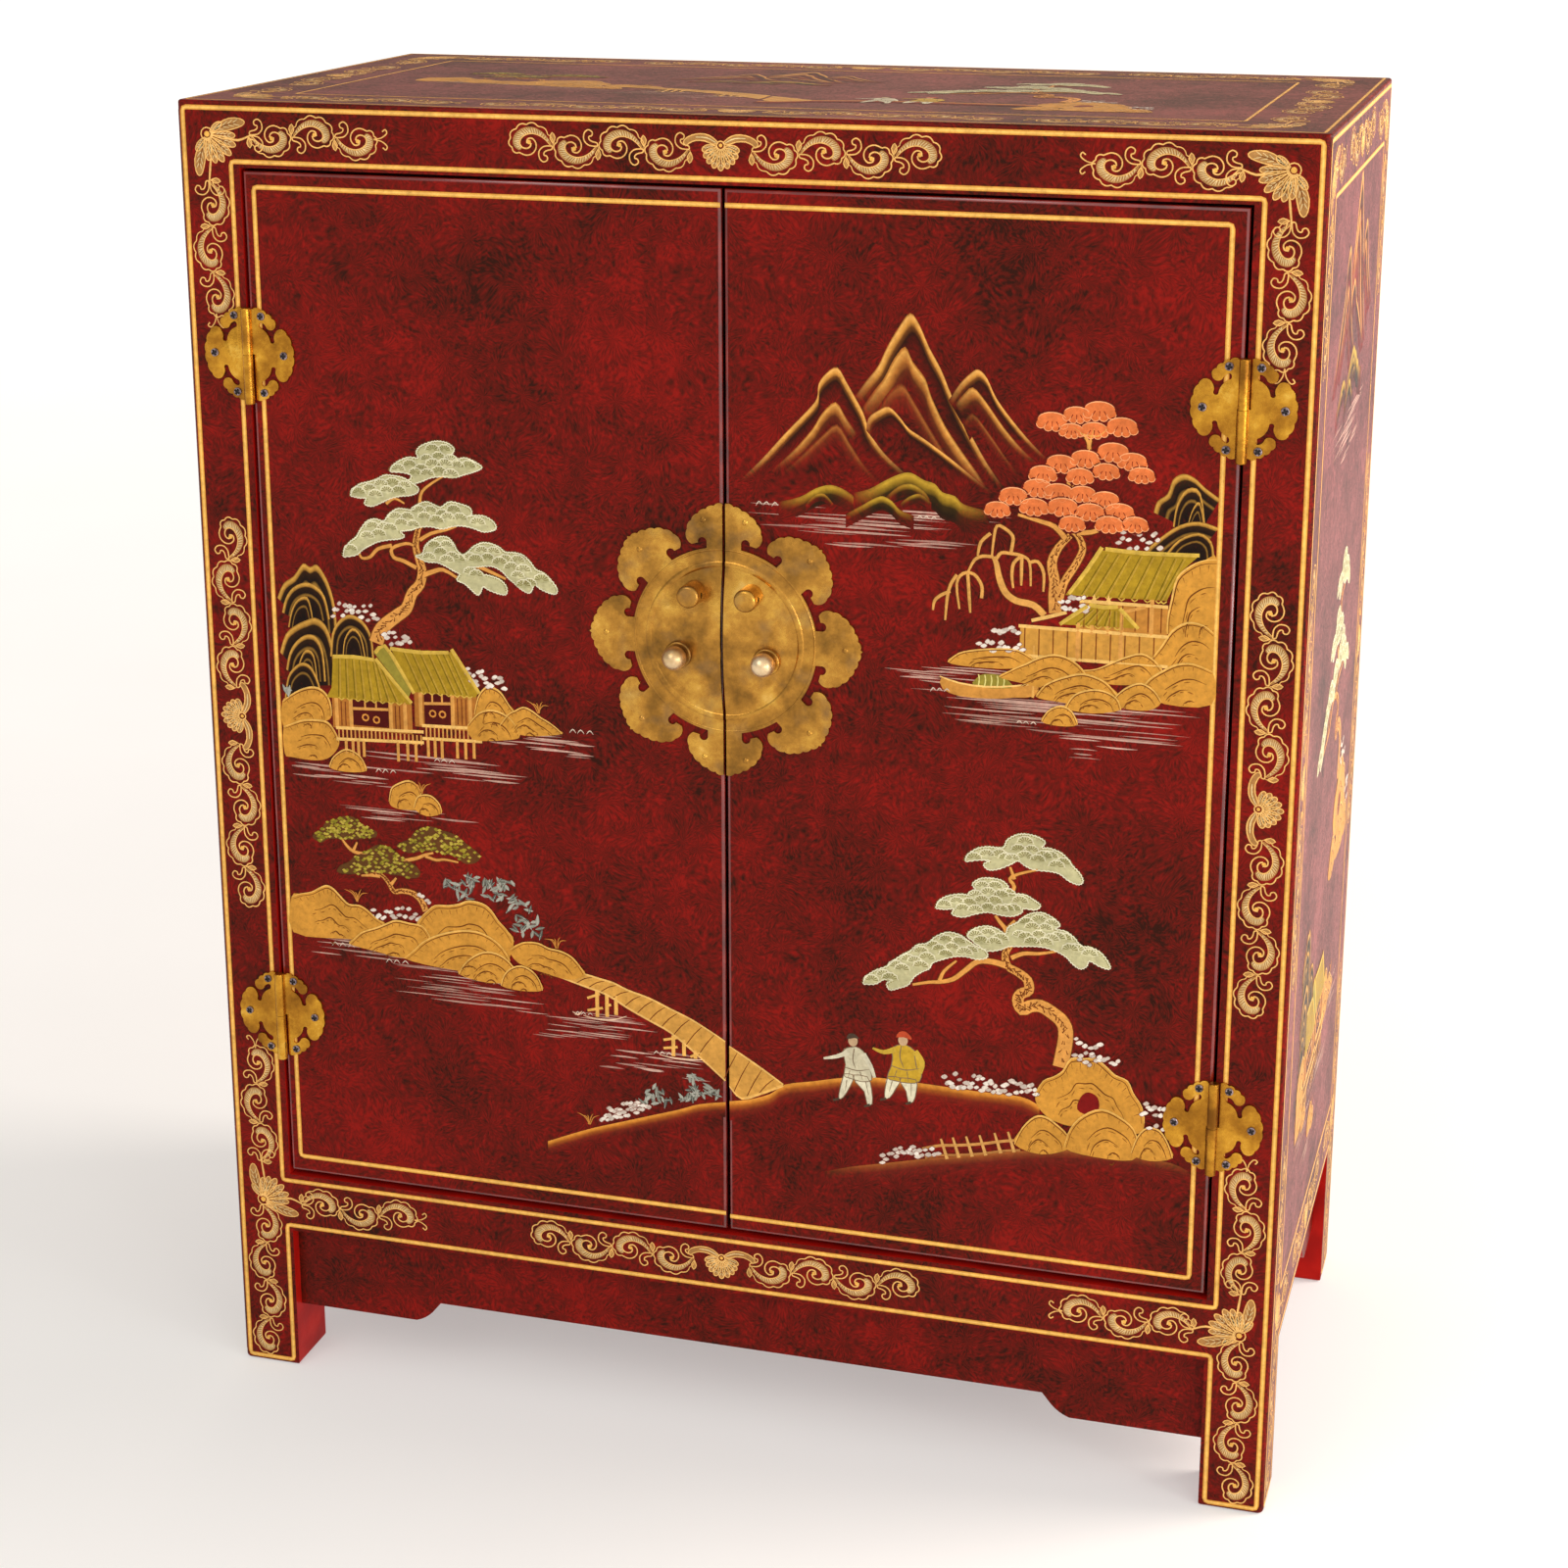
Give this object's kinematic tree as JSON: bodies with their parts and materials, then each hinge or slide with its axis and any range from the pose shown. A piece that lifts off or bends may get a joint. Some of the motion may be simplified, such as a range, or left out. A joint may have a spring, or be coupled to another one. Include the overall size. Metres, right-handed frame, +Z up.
{
  "type": "lacquered two-door cabinet",
  "caption": "Upright red lacquered cabinet on post legs, with flush swinging doors, round brass face plate, ball knobs and shelves inside.",
  "frame": {"origin": "middle of the whole object's box, at floor level under the feet", "axes": "+Z up, the doors face -Y, +X to the right seen from the front"},
  "size_m": [0.74, 0.403, 0.907],
  "materials": {
    "red_lacquer": "semi-gloss mottled red and brown lacquer over wood",
    "inner_lacquer": "plain satin red lacquer over wood",
    "aged_brass": "aged brass, softly polished with brown stains",
    "iron_screw": "dark dull iron"
  },
  "bodies": {
    "carcass": {"apron_front": "red_lacquer", "apron_left": "red_lacquer", "apron_right": "red_lacquer", "back_panel": "red_lacquer", "bottom_rail_back": "red_lacquer", "bottom_rail_front": "red_lacquer", "bottom_rail_left": "red_lacquer", "bottom_rail_right": "red_lacquer", "door_stop_bottom": "inner_lacquer", "door_stop_top": "inner_lacquer", "floor_board": "inner_lacquer", "hinge_frame_leaf_lower_left": "aged_brass", "hinge_frame_leaf_lower_right": "aged_brass", "hinge_frame_leaf_upper_left": "aged_brass", "hinge_frame_leaf_upper_right": "aged_brass", "hinge_pin_lower_left": "aged_brass", "hinge_pin_lower_right": "aged_brass", "hinge_pin_upper_left": "aged_brass", "hinge_pin_upper_right": "aged_brass", "hinge_screws_frame": "iron_screw", "post_back_left": "red_lacquer", "post_back_right": "red_lacquer", "post_front_left": "red_lacquer", "post_front_right": "red_lacquer", "shelf_batten_lower_left": "inner_lacquer", "shelf_batten_lower_right": "inner_lacquer", "shelf_batten_upper_left": "inner_lacquer", "shelf_batten_upper_right": "inner_lacquer", "shelf_lower": "inner_lacquer", "shelf_upper": "inner_lacquer", "side_panel_left": "red_lacquer", "side_panel_right": "red_lacquer", "top_board": "red_lacquer", "top_rail_back": "red_lacquer", "top_rail_front": "red_lacquer", "top_rail_left": "red_lacquer", "top_rail_right": "red_lacquer"},
    "left_door": {"door_batten_lower_left": "inner_lacquer", "door_batten_upper_left": "inner_lacquer", "door_board_left": "red_lacquer", "face_plate_left": "aged_brass", "face_plate_nails_left": "aged_brass", "hinge_door_leaf_lower_left": "aged_brass", "hinge_door_leaf_upper_left": "aged_brass", "hinge_screws_door_left": "iron_screw", "knob_collar_left": "aged_brass", "knob_left": "aged_brass", "lock_post_left": "aged_brass"},
    "right_door": {"door_batten_lower_right": "inner_lacquer", "door_batten_upper_right": "inner_lacquer", "door_board_right": "red_lacquer", "face_plate_nails_right": "aged_brass", "face_plate_right": "aged_brass", "hinge_door_leaf_lower_right": "aged_brass", "hinge_door_leaf_upper_right": "aged_brass", "hinge_screws_door_right": "iron_screw", "knob_collar_right": "aged_brass", "knob_right": "aged_brass", "lock_post_right": "aged_brass"}
  },
  "joints": [
    {"name": "left_door_swing", "type": "hinge", "parent": "carcass", "child": "left_door", "pos_m": [-0.326, -0.1822, 0.5], "axis": [0, 0, -1], "range_deg": [0, 170]},
    {"name": "right_door_swing", "type": "hinge", "parent": "carcass", "child": "right_door", "pos_m": [0.326, -0.1822, 0.5], "axis": [0, 0, 1], "range_deg": [0, 170]}
  ]
}
